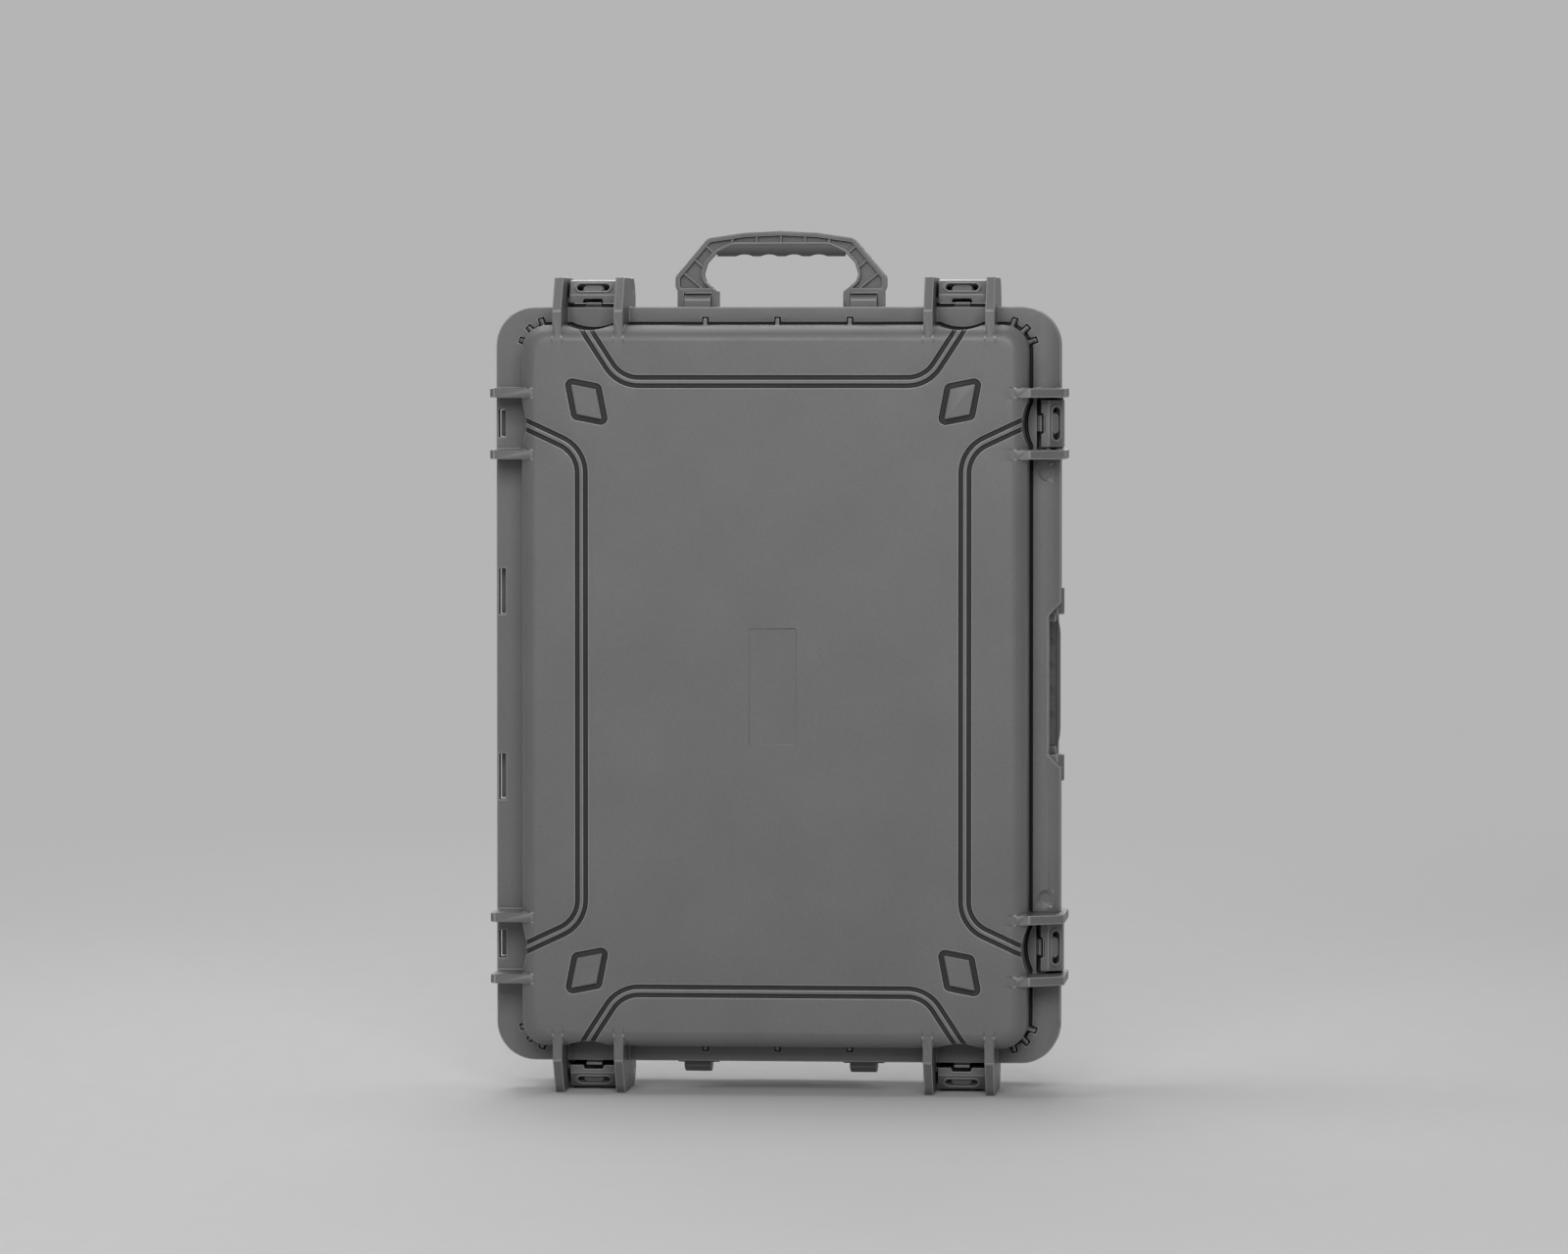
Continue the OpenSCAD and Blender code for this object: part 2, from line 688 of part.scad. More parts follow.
module base_hollow() {
    translate([0, 0, -cut])
        soft_box(shell_w - 2 * wall, shell_h - 2 * wall, shell_r - wall, inner_r, base_d - wall + cut);
}
module base_main() {
    difference() {
        union() {
            rim(base_rim_t);
            translate([0, 0, half_gap])
                soft_box(shell_w, shell_h, shell_r, face_r, base_d - half_gap);
        }
        base_hollow();
        face_cuts(base_d, base_rim_t);
    }
    translate([0, 0, -ridge_t]) linear_extrude(ridge_t + half_gap + cut) ring_2d(ridge_in, ridge_w);
}
module base_moulding() {
    difference() {
        union() {
            difference() {
                base_side() base_main();
                translate([x_lo - cut, -cut, -rim_h])
                    cube([hinge_in + cut, base_rim_t + 2 * cut, 2 * rim_h]);
                stretches(lid_knuckles, knuckle_gap, x_lo - cut, hinge_x + knuckle_r + hinge_room,
                    -cut, base_rim_t + cut);
                stretches(open_windows, 0, x_lo - cut, hinge_x + knuckle_r + hinge_room,
                    -cut, base_rim_t + cut);
            }
            stretches(open_windows, -knuckle_gap, x_lo + cut, hinge_x + 2 * knuckle_r,
                base_rim_t - cover_t, base_rim_t);
            barrels(base_knuckles, knuckle_gap);
            for (st = LATCHES) on_edge(st) base_ears(st);
            for (phi = HANDLE_SIDES) at_handle(phi) bracket_blocks();
        }
        rod_bore();
        for (st = LATCHES) on_edge(st) translate([0, latch_pin_y, latch_pin_v])
            along_x(latch_pin_r + slip, 2 * ear_pitch);
        for (phi = HANDLE_SIDES) at_handle(phi) along_x(handle_pin_r + slip, handle_w);
        intersection() {
            right_openings();
            translate([0, base_rim_t / 2, 0])
                cube([2 * rim_w, base_rim_t + 2 * cut, 2 * rim_h], center = true);
        }
        translate([0, valve_y, shell_h / 2])
            cylinder(r = valve_neck_r + slip, h = 4 * wall, center = true);
    }
}

// Seal and hinge rod
module lid_gasket() {
    color("black") lid_side() translate([0, 0, ridge_t + ridge_play])
        linear_extrude(seal_d - ridge_t - ridge_play)
        ring_2d(seal_in + seal_play, seal_w - 2 * seal_play);
}
module hinge_rod() {
    color("silver") translate([hinge_x, hinge_y, 0])
        cylinder(r = rod_r, h = 2 * rod_half, center = true);
}

// Latches, drawn with the joint plane at y = 0 and the latch line at z = 0
module on_incline() {
    translate([0, (nose_y + crest_y) / 2, (nose_top_v + latch_out) / 2])
        rotate([incline, 0, 0]) children();
}
module latch_body() {
    inner_len = incline_len - 2 * latch_skin;
    color("dimgray") difference() {
        union() {
            side_bar(latch_w) polygon([[nose_y, nose_v], [nose_y, nose_top_v], [crest_y, latch_out],
                [crest_back_y, latch_out + cut], [latch_back_y, latch_pin_v + barrel_r],
                [latch_pin_y, latch_pin_v + barrel_r], [latch_pin_y, latch_pin_v], [latch_back_y, cheek_v],
                [hook_y, cheek_v], [hook_y, nose_v]]);
            translate([0, latch_pin_y, latch_pin_v])
                along_x(barrel_r, ear_pitch - ear_t - 2 * barrel_gap);
            on_incline() translate([0, 0, -cut]) linear_extrude(lug_out + cut)
                stadium(slot_w + 2 * lug_band, slot_h + lug_band);
        }
        // Room for the keeper stubs, right across
        side_bar(2 * ear_pitch) polygon([[hook_y, 0], [hook_y, keeper_v1 + cut],
            [2 * cut - keeper_y0, keeper_v1 + cut], [2 * cut - keeper_y0, 0]]);
        // Hollow behind the button
        on_incline() translate([0, 0, -latch_skin]) mirror([0, 0, 1]) linear_extrude(hollow_d)
            square([latch_w - 2 * cheek_t, inner_len], center = true);
        side_bar(latch_w - 2 * cheek_t)
            polygon([[hook_y, 0], [hook_y, nose_top_v], [crest_back_y, latch_out - latch_skin],
                [latch_back_y - latch_skin, latch_out - 2 * latch_skin],
                [latch_back_y - latch_skin, 0]]);
        on_incline() linear_extrude(3 * latch_skin, center = true) stadium(slot_w, slot_h);
        rotate([90, 0, 0]) linear_extrude(nose_fwd - hook_y)
            polygon([[-window_w / 2, 0], [-window_top_w / 2, window_top_v],
                [window_top_w / 2, window_top_v], [window_w / 2, 0]]);
        translate([0, latch_pin_y, latch_pin_v]) along_x(latch_pin_r + slip, 2 * ear_pitch);
    }
}
module latch_button() {
    color("gray") on_incline() {
        translate([0, 0, -latch_skin - pad_gap]) linear_extrude(latch_skin + pad_gap - pad_sink)
            stadium(pad_w, slot_h - 2 * pad_gap);
        translate([0, 0, -latch_skin - pad_gap - button_flange_t]) linear_extrude(button_flange_t)
            stadium(pad_w + 2 * button_flange, slot_h + button_flange);
    }
}
module latch_pins() {
    color("silver") for (st = LATCHES) on_edge(st) translate([0, latch_pin_y, latch_pin_v])
        along_x(latch_pin_r, ear_pitch + ear_t);
}

// Handles
module handle_outline() {
    offset(r = outline_r) offset(delta = -outline_r)
        polygon([[-handle_w / 2, web_z], [-handle_w / 2, leg_h], [-shoulder_x, handle_h - crown],
            [-shoulder_x / 2, handle_h - crown / 4], [0, handle_h], [shoulder_x / 2, handle_h - crown / 4],
            [shoulder_x, handle_h - crown], [handle_w / 2, leg_h], [handle_w / 2, web_z]]);
    both_sides_2d() translate([block_x - block_w / 2 - arm_play - arm_w, web_z])
        square([block_w + 2 * (arm_play + arm_w), outline_r]);
}
module both_sides_2d() { children(); mirror([1, 0]) children(); }
function mirrored(p) = [for (i = [len(p) - 1:-1:0]) [-p[i][0], p[i][1]]];
module handle_hole() {
    foot = [[handle_w / 2 - hole_foot_in, hole_foot_z - 2 * outline_r]];
    side = concat(foot, hole_side);
    offset(r = outline_r) offset(delta = -outline_r) polygon(concat(side, mirrored(side)));
}
module handle_2d() { difference() { handle_outline(); handle_hole(); } }
module handle_rims() {
    intersection() {
        handle_2d();
        union() {
            difference() { handle_outline(); offset(delta = -band_out) handle_outline(); }
            offset(delta = band_in) handle_hole();
        }
    }
}
module handle_ribs() {
    intersection() {
        handle_2d();
        union() {
            for (k = [-rib_count:rib_count])
                translate([k * rib_pitch - rib_t / 2, hole_top_z]) square([rib_t, handle_h]);
            both_sides_2d() for (rib = side_ribs_in)
                translate([handle_w / 2 - rib[0], rib[1]]) rotate(rib[2])
                    translate([-band_in, -rib_t / 2]) square([handle_w / 4, rib_t]);
        }
    }
}
module flat_plate(t) { rotate([90, 0, 0]) linear_extrude(t, center = true) children(); }
module handle() {
    color("dimgray") difference() {
        union() {
            flat_plate(web_t) handle_2d();
            flat_plate(handle_t) handle_rims();
            flat_plate(rib_d) handle_ribs();
            both_sides() for (s = [-1, 1])
                translate([block_x + s * (block_w / 2 + arm_play + arm_w / 2), 0, 0]) {
                    along_x(handle_t / 2, arm_w);
                    side_bar(arm_w) translate([-handle_t / 2, 0]) square([handle_t, web_z + cut]);
                }
        }
        along_x(handle_pin_r + slip, handle_w + cut);
    }
}
module handle_grip() {
    color("black") difference() {
        intersection() {
            flat_plate(grip_t) offset(delta = -grip_fit) handle_hole();
            translate([0, 0, hole_top_z]) along_x(grip_t / 2, handle_w - 2 * grip_in);
        }
        for (k = [-1.5:1.5])
            translate([k * finger_pitch, 0, hole_top_z - grip_t / 2 + finger_in - finger_r])
                rotate([90, 0, 0]) cylinder(r = finger_r, h = 2 * grip_t, center = true);
    }
}
module handle_pins() {
    color("silver") for (phi = HANDLE_SIDES) at_handle(phi) both_sides()
        translate([block_x, 0, 0]) along_x(handle_pin_r, block_w + 2 * (arm_play + arm_w));
}
module folded() { rotate([-90, 0, 0]) children(); }

// Pressure valve, through the base's upper wall
module valve_ring(r0, r1, z0, t) {
    translate([0, valve_y, shell_h / 2 + z0]) difference() {
        cylinder(r = r1, h = t);
        translate([0, 0, -cut]) cylinder(r = r0, h = t + 2 * cut);
    }
}
module valve_body() {
    color("black") translate([0, valve_y, shell_h / 2]) difference() {
        union() {
            translate([0, 0, -valve_thread]) cylinder(r = valve_neck_r, h = valve_thread + valve_seal_t);
            translate([0, 0, valve_seal_t]) cylinder(r = valve_flange_r, h = valve_flange_t);
        }
        for (k = [1:valve_notches]) rotate(k * 360 / valve_notches)
            translate([valve_flange_r, 0, valve_seal_t + valve_flange_t / 2])
                cylinder(r = valve_notch, h = valve_flange_t);
    }
}
module valve_seal() {
    color("black") valve_ring(valve_neck_r + slip, valve_neck_r + valve_seal_band, 0, valve_seal_t);
}
module valve_nut() {
    color("dimgray") valve_ring(valve_neck_r + slip, valve_flange_r, -wall - valve_nut_t, valve_nut_t);
}

// Foam
module foam_slab(t) { linear_extrude(t) round_rect(foam_w, foam_h, foam_r); }
module inset_slab(t) {
    linear_extrude(t) round_rect(foam_w - 2 * inner_r, foam_h - 2 * inner_r, foam_r);
}
module base_pad() {
    color("darkslategray") base_side() translate([0, 0, base_floor - foam_gap - base_pad_t])
        inset_slab(base_pad_t);
}
module pocket(w, h, d) {
    translate([0, 0, -cut]) linear_extrude(d + cut) round_rect(w, h, pocket_r);
}
module base_foam() {
    color("darkslategray") base_side() translate([0, 0, foam_face]) difference() {
        foam_slab(base_foam_t);
        for (s = [-1, 1]) translate([0, s * laptop_z, 0]) {
            pocket(laptop_w, laptop_h, laptop_d);
            for (m = [-1, 1]) translate([m * laptop_w / 2, 0, -cut])
                cylinder(r = finger_pull_r, h = tool_d + cut);
        }
        for (s = [-1:1]) translate([s * tool_x, 0, 0]) pocket(tool_w, tool_h, tool_d);
        translate([0, foam_h / 2, valve_y - foam_face]) rotate([90, 0, 0])
            cylinder(r = valve_flange_r + 2 * ear_skin, h = 2 * foam_floor, center = true);
    }
}
module lid_foam() {
    color("darkslategray") lid_side() difference() {
        translate([0, 0, lid_d - wall - foam_gap - lid_foam_t]) {
            foam_slab(lid_foam_t - inner_r);
            inset_slab(lid_foam_t);
        }
        for (st = concat(LATCHES, HINGE_EARS)) wave(st, wall + foam_side);
    }
}

translate(shift) lid_shell();
translate(shift) base_shell();
translate(shift) lid_side_rim();
translate(shift) base_side_rim();
translate(shift) lid_gasket();
translate(shift) hinge_rod();
for (i = [1:6]) {
    st = LATCHES[i - 1];
    translate(shift) on_edge(st) latch_body();
    translate(shift) on_edge(st) latch_button();
}
translate(shift) latch_pins();
translate(shift) at_handle(90) handle();  // top_handle
translate(shift) at_handle(270) folded() handle();  // bottom_handle
translate(shift) at_handle(0) folded() handle();  // side_handle
translate(shift) at_handle(90) handle_grip();  // top_handle_grip
translate(shift) at_handle(270) folded() handle_grip();  // bottom_handle_grip
translate(shift) at_handle(0) folded() handle_grip();  // side_handle_grip
translate(shift) handle_pins();
translate(shift) valve_body();
translate(shift) valve_seal();
translate(shift) valve_nut();
translate(shift) base_pad();
translate(shift) base_foam();
translate(shift) lid_foam();
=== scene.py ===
"""Looks of the latched laptop case: moulded grey plastic, rubber grips, steel pins and soft foam.

Lengths are in metres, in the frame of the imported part: x across, y into the case, z up.
"""

import json
import math

import bmesh
import bpy
from mathutils import Matrix, Vector
from mathutils import noise as uneven
from mathutils.geometry import intersect_point_line

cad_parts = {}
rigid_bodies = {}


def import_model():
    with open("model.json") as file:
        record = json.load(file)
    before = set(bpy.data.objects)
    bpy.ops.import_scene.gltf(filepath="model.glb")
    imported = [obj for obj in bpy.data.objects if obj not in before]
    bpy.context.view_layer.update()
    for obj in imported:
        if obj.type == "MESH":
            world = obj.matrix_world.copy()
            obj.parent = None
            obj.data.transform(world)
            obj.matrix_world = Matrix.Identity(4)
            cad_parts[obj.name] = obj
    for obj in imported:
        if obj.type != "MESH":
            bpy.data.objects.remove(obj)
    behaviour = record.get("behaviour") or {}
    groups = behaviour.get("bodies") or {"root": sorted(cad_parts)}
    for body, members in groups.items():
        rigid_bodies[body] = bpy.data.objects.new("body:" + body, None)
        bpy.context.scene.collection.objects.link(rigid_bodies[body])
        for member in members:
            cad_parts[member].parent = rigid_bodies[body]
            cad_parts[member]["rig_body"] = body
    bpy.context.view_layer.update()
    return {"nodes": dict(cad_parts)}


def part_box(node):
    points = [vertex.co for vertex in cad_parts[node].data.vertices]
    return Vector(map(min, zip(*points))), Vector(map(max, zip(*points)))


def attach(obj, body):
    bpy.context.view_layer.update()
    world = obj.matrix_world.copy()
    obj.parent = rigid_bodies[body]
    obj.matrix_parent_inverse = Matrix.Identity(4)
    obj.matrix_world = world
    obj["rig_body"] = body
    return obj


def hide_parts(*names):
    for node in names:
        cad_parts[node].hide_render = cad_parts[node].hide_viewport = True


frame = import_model()
nodes = frame["nodes"]


# Materials


def srgb(level):
    """The linear value of a grey given as it shows on a screen, 0 to 1."""
    return ((level + 0.055) / 1.055) ** 2.4


CLOUD_SIZE, GLOSS_SIZE = 0.09, 0.03
GLOSS_SWING = 0.1
SPECK_SIZE = 1.7
BUMP_STRENGTH = 0.5
# Painted shade in recesses: how far the occlusion looks, its samples, and how it maps to
# darkening
PAINTED_SHADE_REACH, PAINTED_SHADE_SAMPLES = 0.010, 6
PAINTED_SHADE_FROM, PAINTED_SHADE_TO = 0.2, 0.8


def shader(
    name,
    grey,
    rough,
    grain,
    bump,
    metallic=0.0,
    mottle=0.06,
    speck=0.06,
    sheen=0.0,
    specular=0.5,
    painted_shade_left=0.35,
):
    """A grey finish with a fine moulded grain, cloudy tone, uneven gloss and painted shade in its
    recesses.

    grey is the level on screen, grain the size of one grain in metres, bump its height and
    the last argument the share of the tone that is left where shade is painted into a recess.
    """
    mat = bpy.data.materials.new(name)
    mat.use_nodes = True
    tree = mat.node_tree
    tree.nodes.clear()
    out = tree.nodes.new("ShaderNodeOutputMaterial")
    body = tree.nodes.new("ShaderNodeBsdfPrincipled")
    tree.links.new(body.outputs["BSDF"], out.inputs["Surface"])
    place = tree.nodes.new("ShaderNodeTexCoord")

    def noise(size, detail=4.0):
        node = tree.nodes.new("ShaderNodeTexNoise")
        node.inputs["Scale"].default_value = 1 / size
        node.inputs["Detail"].default_value = detail
        tree.links.new(place.outputs["Object"], node.inputs["Vector"])
        return node.outputs["Fac"]

    def ramp(source, low, high, low_at=0.3, high_at=0.7):
        node = tree.nodes.new("ShaderNodeValToRGB")
        stops = node.color_ramp.elements
        stops[0].position, stops[1].position = low_at, high_at
        stops[0].color = (low, low, low, 1)
        stops[1].color = (high, high, high, 1)
        tree.links.new(source, node.inputs["Fac"])
        return node.outputs["Color"]

    base = srgb(grey)
    cloud = ramp(noise(CLOUD_SIZE), base * (1 - mottle), base * (1 + mottle))
    grains = ramp(noise(grain * SPECK_SIZE, 2.0), 1 - speck, 1 + speck)

    def times(a, b):
        mix = tree.nodes.new("ShaderNodeMix")
        mix.data_type = "RGBA"
        mix.blend_type = "MULTIPLY"
        mix.inputs["Factor"].default_value = 1.0
        tree.links.new(a, mix.inputs["A"])
        tree.links.new(b, mix.inputs["B"])
        return mix.outputs["Result"]

    tone = times(cloud, grains)
    # Painted shade: ambient occlusion darkens the base colour in recesses, where shade falls
    if painted_shade_left < 1:
        occlusion = tree.nodes.new("ShaderNodeAmbientOcclusion")
        occlusion.samples = PAINTED_SHADE_SAMPLES
        occlusion.inputs["Distance"].default_value = PAINTED_SHADE_REACH
        painted_shade = ramp(occlusion.outputs["AO"], painted_shade_left, 1, PAINTED_SHADE_FROM, PAINTED_SHADE_TO)
        tone = times(tone, painted_shade)
    tree.links.new(tone, body.inputs["Base Color"])

    gloss = ramp(noise(GLOSS_SIZE), rough * (1 - GLOSS_SWING), rough * (1 + GLOSS_SWING))
    tree.links.new(gloss, body.inputs["Roughness"])
    body.inputs["Metallic"].default_value = metallic
    body.inputs["Sheen Weight"].default_value = sheen
    body.inputs["Specular IOR Level"].default_value = specular

    skin = tree.nodes.new("ShaderNodeBump")
    skin.inputs["Strength"].default_value = BUMP_STRENGTH
    skin.inputs["Distance"].default_value = bump
    tree.links.new(noise(grain, 3.0), skin.inputs["Height"])
    tree.links.new(skin.outputs["Normal"], body.inputs["Normal"])
    return mat


MATERIALS = {
    "shell": shader("moulded_plastic", 0.42, 0.42, 0.0011, 0.00010),
    # groove: painted shade, a darker plastic for the faces in the grooves and moats
    "groove": shader("groove_shade", 0.235, 0.5, 0.0011, 0.00010, specular=0.15),
    # edge: painted highlight, a lighter plastic on the faces that round an outer edge
    "edge": shader("painted_edge_highlight", 0.56, 0.36, 0.0011, 0.00006, painted_shade_left=0.6),
    "latch": shader("latch_plastic", 0.41, 0.38, 0.0009, 0.00008),
    "button": shader("button_plastic", 0.43, 0.36, 0.0009, 0.00006),
    "handle": shader("handle_plastic", 0.41, 0.38, 0.0010, 0.00008),
    "grip": shader("grip_rubber", 0.38, 0.55, 0.0008, 0.00015, sheen=0.1),
    "steel": shader("pin_steel", 0.66, 0.28, 0.0015, 0.00003, metallic=1.0, painted_shade_left=0.6),
    "seal": shader("seal_rubber", 0.17, 0.6, 0.0008, 0.00010, sheen=0.1),
    "valve": shader("valve_plastic", 0.34, 0.38, 0.0008, 0.00006),
    "foam": shader("dark_foam", 0.22, 0.95, 0.0016, 0.00060, sheen=0.3),
}
# Slots whose rounded edges take the painted edge highlight
EDGE_HIGHLIGHT_SLOTS = ("shell", "latch", "button", "handle")

SLOT_OF = {
    "lid_shell": "shell",
    "base_shell": "shell",
    "lid_side_rim": "shell",
    "base_side_rim": "shell",
    "latch_body": "latch",
    "latch_button": "button",
    "top_handle": "handle",
    "bottom_handle": "handle",
    "side_handle": "handle",
    "top_handle_grip": "grip",
    "bottom_handle_grip": "grip",
    "side_handle_grip": "grip",
    "hinge_rod": "steel",
    "latch_pins": "steel",
    "handle_pins": "steel",
    "lid_gasket": "seal",
    "valve_seal": "seal",
    "valve_body": "valve",
    "valve_nut": "valve",
    "base_pad": "foam",
    "base_foam": "foam",
    "lid_foam": "foam",
}


def slot_of(node):
    return SLOT_OF[node.rstrip("_123456")]


# Sizes of the case that the dressing follows

CASE_X, CASE_Z = -0.003, 0.399
JOINT_Y = -0.021
HALF_W, HALF_H = 0.247, 0.352
CORNER_R, FILLET = 0.025, 0.016
END_LATCH_X, SIDE_LATCH_Z = 0.181, 0.256

# Moulded and turned pieces: each CAD node with its edges rounded as in the mould

SHARP = math.radians(28)
BENT = math.radians(6)
FLAT = math.radians(0.6)
FLAT_WEIGHT = 90
MERGE, HANDLE_MERGE = 2e-6, 1.5e-4
ROOM = 2.1
# Material slots of the rounded pieces: 1 holds the painted edge highlight, 2 the painted shade of
# the grooves
EDGE_PAINTED_HIGHLIGHT, GROOVE_PAINTED_SHADE = 1, 2


def link(obj):
    bpy.context.scene.collection.objects.link(obj)
    return obj


def dress(obj, node):
    """obj stands for a CAD node: it rides on its body and takes the finish of its slot."""
    slot = slot_of(node)
    obj.data.materials.append(MATERIALS[slot])
    # These slots also get the painted edge highlight as their second material
    if slot in EDGE_HIGHLIGHT_SLOTS:
        obj.data.materials.append(MATERIALS["edge"])
    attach(obj, nodes[node]["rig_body"])
    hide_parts(node)


def soften(obj):
    """Smooth shading over bends and flat shading on flats."""
    obj.data.polygons.foreach_set("use_smooth", [True] * len(obj.data.polygons))
    obj.data.set_sharp_from_angle(angle=SHARP)
    weigh = obj.modifiers.new("flats_stay_flat", "WEIGHTED_NORMAL")
    weigh.keep_sharp = True
    weigh.weight = FLAT_WEIGHT


def clean_copy(node):
    """The CAD node as a bmesh without the triangle edges that lie in flats."""
    bm = bmesh.new()
    bm.from_mesh(nodes[node].data)
    merge = HANDLE_MERGE if "handle" in node else MERGE
    bmesh.ops.remove_doubles(bm, verts=bm.verts, dist=merge)
    bmesh.ops.dissolve_limit(bm, angle_limit=FLAT, verts=bm.verts, edges=bm.edges)
    return bm


def reach(point, a, b):
    """Distance from a point to the stretch from a to b."""
    foot, share = intersect_point_line(point, a, b)
    return (point - (a if share < 0 else b if share > 1 else foot)).length


def tight_edges(bm, sharp, radius):
    """Sharp edges beside a face that is too narrow for the round, or for two of them."""
    tight = set()
    for edge in sharp:
        if any(f.calc_area() < radius * edge.calc_length() for f in edge.link_faces):
            tight.add(edge)
    for face in bm.faces:
        corners = [c for c in face.loops if c.edge in sharp]
        sides = [(c.edge, c.vert.co, c.link_loop_next.vert.co) for c in corners]
        for i, (edge, a, b) in enumerate(sides):
            for other, c, d in sides[i + 1 :]:
                if (b - a).dot(d - c) > 0 or set(edge.verts) & set(other.verts):
                    continue
                gap = min(reach(a, c, d), reach(b, c, d), reach(c, a, b), reach(d, a, b))
                if gap < ROOM * radius:
                    tight.update((edge, other))
    return tight


def bevel(bm, radius, steps):
    """Rounds the sharp edges that have room for it, and returns the new faces."""
    sharp = {e for e in bm.edges if len(e.link_faces) == 2 and e.calc_face_angle(0) > SHARP}
    tight = tight_edges(bm, sharp, radius)
    made = bmesh.ops.bevel(
        bm,
        geom=[e for e in bm.edges if e in sharp and e not in tight],
        offset=radius,
        offset_type="OFFSET",
        segments=steps,
        profile=0.5,
        affect="EDGES",
        clamp_overlap=False,
        loop_slide=False,
    )
    return made["faces"]


def proud(face):
    """True for a face that rounds an outer edge."""
    return any(e.is_convex and e.calc_face_angle(0) > BENT for e in face.edges)


def rounded(node, radius):
    """The CAD node with each sharp edge rounded by the given width."""
    bm = clean_copy(node)
    rounds = bevel(bm, radius, 2)
    if slot_of(node) in EDGE_HIGHLIGHT_SLOTS:
        # Painted highlight: faces that round an outer edge take the lighter edge plastic
        for face in rounds:
            face.material_index = EDGE_PAINTED_HIGHLIGHT if proud(face) else 0
    many_sided = [f for f in bm.faces if len(f.verts) > 4]
    bmesh.ops.triangulate(bm, faces=many_sided, ngon_method="BEAUTY")
    return finished(bm, node, node + "_rounded")


def finished(bm, node, name):
    """The piece of that name, made of the mesh, in the place of the CAD node."""
    mesh = bpy.data.meshes.new(name)
    bm.to_mesh(mesh)
    bm.free()
    obj = link(bpy.data.objects.new(name, mesh))
    soften(obj)
    dress(obj, node)
    return obj


EDGE_WIDTH = {
    "lid_shell": 0.0011,
    "base_shell": 0.0011,
    "lid_side_rim": 0.0011,
    "base_side_rim": 0.0011,
    "latch_body": 0.0006,
    "latch_button": 0.0004,
    "top_handle": 0.0006,
    "bottom_handle": 0.0006,
    "side_handle": 0.0006,
    "top_handle_grip": 0.0004,
    "bottom_handle_grip": 0.0004,
    "side_handle_grip": 0.0004,
    "hinge_rod": 0.0004,
    "latch_pins": 0.0004,
    "handle_pins": 0.0004,
    "valve_body": 0.0005,
    "valve_seal": 0.0003,
    "valve_nut": 0.0005,
    "lid_gasket": 0.0012,
}

rounded_pieces = {}
for name in nodes:
    kind = name.rstrip("_123456")
    if kind in EDGE_WIDTH:
        rounded_pieces[name] = rounded(name, EDGE_WIDTH[kind])

# Painted shade: a darker plastic on the moulded grooves, the rings and the moats, where shade
# falls

DEPTHS = {"lid_shell": 0.070, "base_shell": 0.112, "lid_side_rim": 0.070, "base_side_rim": 0.112}
GROOVE_DEEP, GROOVE_SHALLOW = 0.0040, 0.0007
WAVE_HALF, WAVE_DEEP = 0.023, 0.0054
MOAT_LOW, MOAT_HIGH = 0.0098, 0.0134
PEG_REACH = 0.0095
TOUCH = 0.0002


def beside_wall(x, z):
    """Signed distance from the shell's side walls, seen from the front; negative inside."""
    dx = abs(x - CASE_X) - (HALF_W - CORNER_R)
    dz = abs(z - CASE_Z) - (HALF_H - CORNER_R)
    return math.hypot(max(dx, 0), max(dz, 0)) + min(max(dx, dz), 0) - CORNER_R


def below_skin(point, depth):
    """Signed distance from the shell's outer skin, fillet included; negative inside."""
    side = beside_wall(point.x, point.z) + FILLET
    face = abs(point.y - JOINT_Y) - depth + FILLET
    return math.hypot(max(side, 0), max(face, 0)) + min(max(side, face), 0) - FILLET


def in_wave(point):
    """True in the shallow waves of the wall between the ears."""
    x, z = abs(point.x - CASE_X), abs(point.z - CASE_Z)
    at_end = abs(x - END_LATCH_X) < WAVE_HALF and z > HALF_H - WAVE_DEEP
    at_side = abs(z - SIDE_LATCH_Z) < WAVE_HALF and x > HALF_W - WAVE_DEEP
    return at_end or at_side


def shade_grooves(obj, node):
    """Paints shade, as a darker plastic, on the faces in the grooves, the rings and the moat of
    the pegs.
    """
    obj.data.materials.append(MATERIALS["groove"])
    depth = DEPTHS[node]
    for face in obj.data.polygons:
        point = face.center
        skin = below_skin(point, depth)
        out = beside_wall(point.x, point.z)
        drop = abs(point.y - JOINT_Y)
        wave = in_wave(point)
        groove = -GROOVE_DEEP < skin < -GROOVE_SHALLOW and not wave and drop > MOAT_HIGH
        beside = -TOUCH < out < PEG_REACH or wave
        moat = node.startswith("lid") and MOAT_LOW < drop < MOAT_HIGH and beside
        if groove or moat:
            face.material_index = GROOVE_PAINTED_SHADE


for name in DEPTHS:
    shade_grooves(rounded_pieces[name], name)

# Foam: pocketed slab and flat pad in the base, egg-crate slab in the lid

PAD_ROUND = 0.0025
CRATE_PITCH = 0.042
CRATE_DEPTH = 0.016
CRATE_CELL = 0.007
CRATE_EDGE, CRATE_FLAT = 0.014, 0.3
SLAB_CELL = 0.03
RIPPLE_HEIGHT, RIPPLE_SIZE = 0.0004, 0.05
LEVEL = 1e-5


def ripple(obj):
    """The slightly uneven skin of cut foam."""
    for vert in obj.data.vertices:
        vert.co += vert.normal * RIPPLE_HEIGHT * uneven.noise(vert.co / RIPPLE_SIZE)


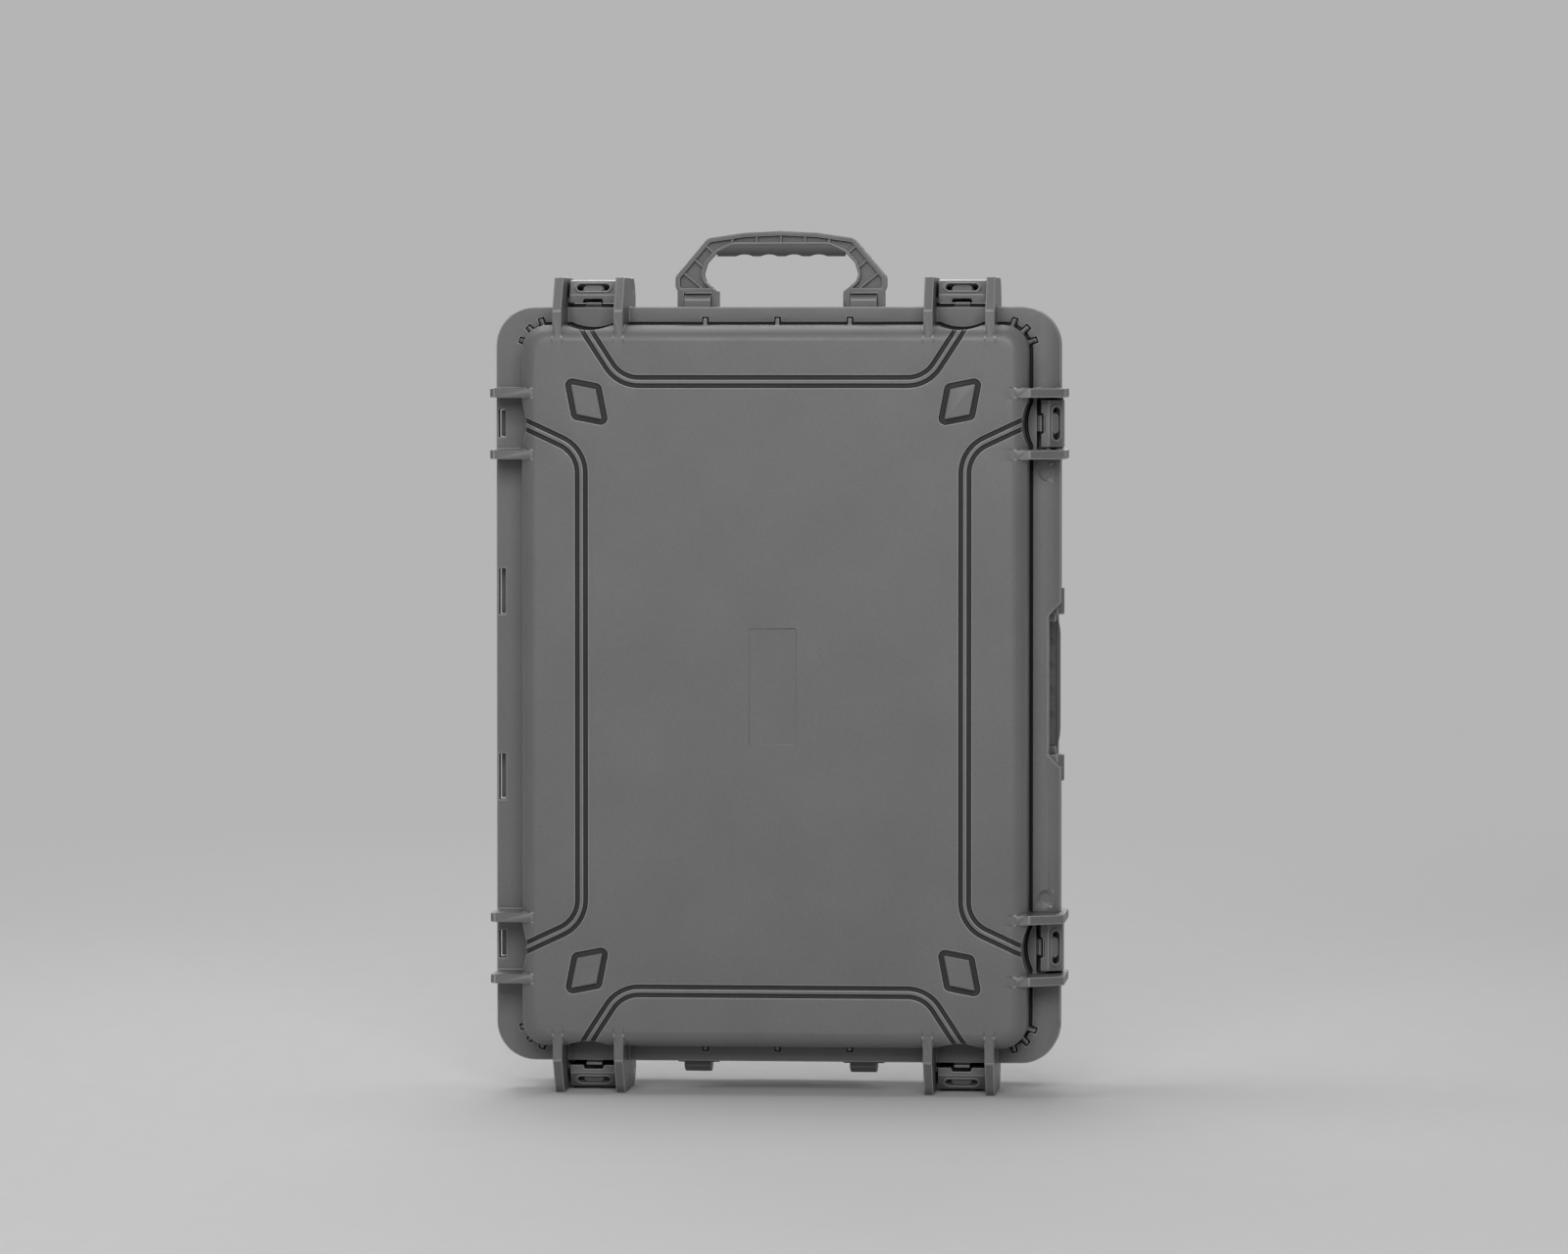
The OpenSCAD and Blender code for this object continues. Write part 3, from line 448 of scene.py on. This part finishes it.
def foam_copy(node, split):
    """The foam solid with soft edges, its long faces split up so that they can be uneven."""
    bm = clean_copy(node)
    bevel(bm, PAD_ROUND, 3)
    low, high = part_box(node)
    for axis, normal in ((0, (1, 0, 0)), (2, (0, 0, 1))):
        count = int((high[axis] - low[axis]) / split)
        for i in range(1, count):
            at = Vector((0, 0, 0))
            at[axis] = low[axis] + (high[axis] - low[axis]) * i / count
            bmesh.ops.bisect_plane(
                bm,
                geom=bm.verts[:] + bm.edges[:] + bm.faces[:],
                dist=MERGE / 2,
                plane_co=at,
                plane_no=normal,
            )
    return bm


def egg_crate():
    """The lid's foam: waves across its open face that die out towards its edge."""
    bm = foam_copy("lid_foam", CRATE_CELL)
    low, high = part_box("lid_foam")
    top = high[1]
    turn = 2 * math.pi / CRATE_PITCH
    for vert in bm.verts:
        if vert.co.y > top - LEVEL:
            x, z = vert.co.x - CASE_X, vert.co.z - CASE_Z
            inset = -beside_wall(vert.co.x, vert.co.z) - (HALF_W - (high[0] - low[0]) / 2)
            fade = min(max(inset / CRATE_EDGE - CRATE_FLAT, 0), 1)
            wave = 0.5 - 0.5 * math.cos(turn * x) * math.cos(turn * z)
            vert.co.y = top - CRATE_DEPTH * wave * fade
    return finished(bm, "lid_foam", "lid_foam_crate")


crate = egg_crate()
for name in ("base_foam", "base_pad"):
    slab = finished(foam_copy(name, SLAB_CELL), name, name + "_soft")
    ripple(slab)

# Stage: a round pale floor that fades, for the camera, into a pale surround

FLOOR_R = 30.0
FADE_FROM, FADE_TO = 1.1, 5.0
SURROUND, WORLD_LIGHT = 0.46, 0.16


def node_of(tree, kind, a, b, operation=None, share=None):
    """A node of that kind with two inputs linked, after a linked share if it mixes."""
    node = tree.nodes.new(kind)
    if operation:
        node.operation = operation
    sources = (a, b) if share is None else (share, a, b)
    for i, source in enumerate(sources):
        tree.links.new(source, node.inputs[i])
    return node.outputs[0]


def seen_rays(tree):
    """1 for what the camera sees, also by reflection or through something, and 0 for light."""
    is_ray = tree.nodes.new("ShaderNodeLightPath").outputs
    seen = node_of(
        tree, "ShaderNodeMath", is_ray["Is Camera Ray"], is_ray["Is Glossy Ray"], "MAXIMUM"
    )
    return node_of(tree, "ShaderNodeMath", seen, is_ray["Is Transmission Ray"], "MAXIMUM")


def pale_floor():
    """A disc of matt paper that keeps the shadow and fades into the surround further out."""
    bm = bmesh.new()
    bmesh.ops.create_circle(bm, cap_ends=True, segments=96, radius=FLOOR_R)
    mesh = bpy.data.meshes.new("studio_floor")
    bm.to_mesh(mesh)
    bm.free()
    obj = link(bpy.data.objects.new("studio_floor", mesh))
    paper = shader(
        "studio_paper", 0.86, 0.9, 0.002, 0.00002, mottle=0.005, speck=0.004, painted_shade_left=1
    )
    mesh.materials.append(paper)
    tree = paper.node_tree
    out = next(n for n in tree.nodes if n.type == "OUTPUT_MATERIAL")
    matt = out.inputs["Surface"].links[0].from_socket
    place = tree.nodes.new("ShaderNodeTexCoord")
    away = tree.nodes.new("ShaderNodeVectorMath")
    away.operation = "LENGTH"
    tree.links.new(place.outputs["Object"], away.inputs[0])
    fade = tree.nodes.new("ShaderNodeMapRange")
    fade.interpolation_type = "SMOOTHERSTEP"
    fade.inputs["From Min"].default_value = FADE_FROM
    fade.inputs["From Max"].default_value = FADE_TO
    tree.links.new(away.outputs["Value"], fade.inputs["Value"])
    share = node_of(
        tree, "ShaderNodeMath", fade.outputs["Result"], seen_rays(tree), "MULTIPLY"
    )
    far = tree.nodes.new("ShaderNodeEmission")
    far.inputs["Color"].default_value = (1, 1, 1, 1)
    far.inputs["Strength"].default_value = SURROUND
    both = node_of(tree, "ShaderNodeMixShader", matt, far.outputs[0], share=share)
    tree.links.new(both, out.inputs["Surface"])
    return obj


floor = pale_floor()

world = bpy.data.worlds.new("studio")
bpy.context.scene.world = world
world.use_nodes = True
sky = world.node_tree
plain, pale = sky.nodes["Background"], sky.nodes.new("ShaderNodeBackground")
for ground, strength in ((plain, WORLD_LIGHT), (pale, SURROUND)):
    ground.inputs["Color"].default_value = (1, 1, 1, 1)
    ground.inputs["Strength"].default_value = strength
choice = node_of(
    sky, "ShaderNodeMixShader", plain.outputs[0], pale.outputs[0], share=seen_rays(sky)
)
sky.links.new(choice, sky.nodes["World Output"].inputs["Surface"])

CASE_MIDDLE = Vector((0.0, 0.0, 0.4))


def softbox(name, place, size, power):
    """A large rectangular lamp that faces the middle of the case."""
    light = bpy.data.lights.new(name, "AREA")
    light.shape = "RECTANGLE"
    light.size, light.size_y = size
    light.energy = power
    obj = link(bpy.data.objects.new(name, light))
    obj.location = place
    aim = CASE_MIDDLE - Vector(place)
    obj.rotation_euler = aim.to_track_quat("-Z", "Y").to_euler()


softbox("front_softbox", (0.3, -5.2, 2.4), (3.0, 2.2), 145)
softbox("top_softbox", (-0.5, 0.5, 3.2), (2.6, 1.8), 40)
softbox("back_softbox", (-0.8, 5.0, 2.6), (3.0, 2.2), 60)

# Camera: a long lens a little above the middle, turned slightly to the case's right

FOCAL_PX = 7700.0
IMAGE_W, IMAGE_H = 1600, 1280
SENSOR_W = 36.0
SIGHT = 60
FORWARD = Vector((-0.0856, 0.9957, -0.034)).normalized()
RIGHT = FORWARD.cross(Vector((0, 0, 1))).normalized()
UP = RIGHT.cross(FORWARD)
CASE_CENTRE = Vector((-0.003, -0.035, 0.399))
CENTRE_PX = (793.5, 699.0)
DEPTH = 7.392

ray = (
    FORWARD
    + RIGHT * (CENTRE_PX[0] - IMAGE_W / 2) / FOCAL_PX
    - UP * (CENTRE_PX[1] - IMAGE_H / 2) / FOCAL_PX
)
lens = bpy.data.cameras.new("camera")
lens.sensor_width = SENSOR_W
lens.lens = FOCAL_PX / IMAGE_W * SENSOR_W
lens.clip_end = SIGHT
camera = link(bpy.data.objects.new("camera", lens))
turned = Matrix((RIGHT, UP, -FORWARD)).transposed().to_4x4()
camera.matrix_world = Matrix.Translation(CASE_CENTRE - ray * DEPTH) @ turned
bpy.context.scene.camera = camera
bpy.context.scene.view_settings.view_transform = "Standard"
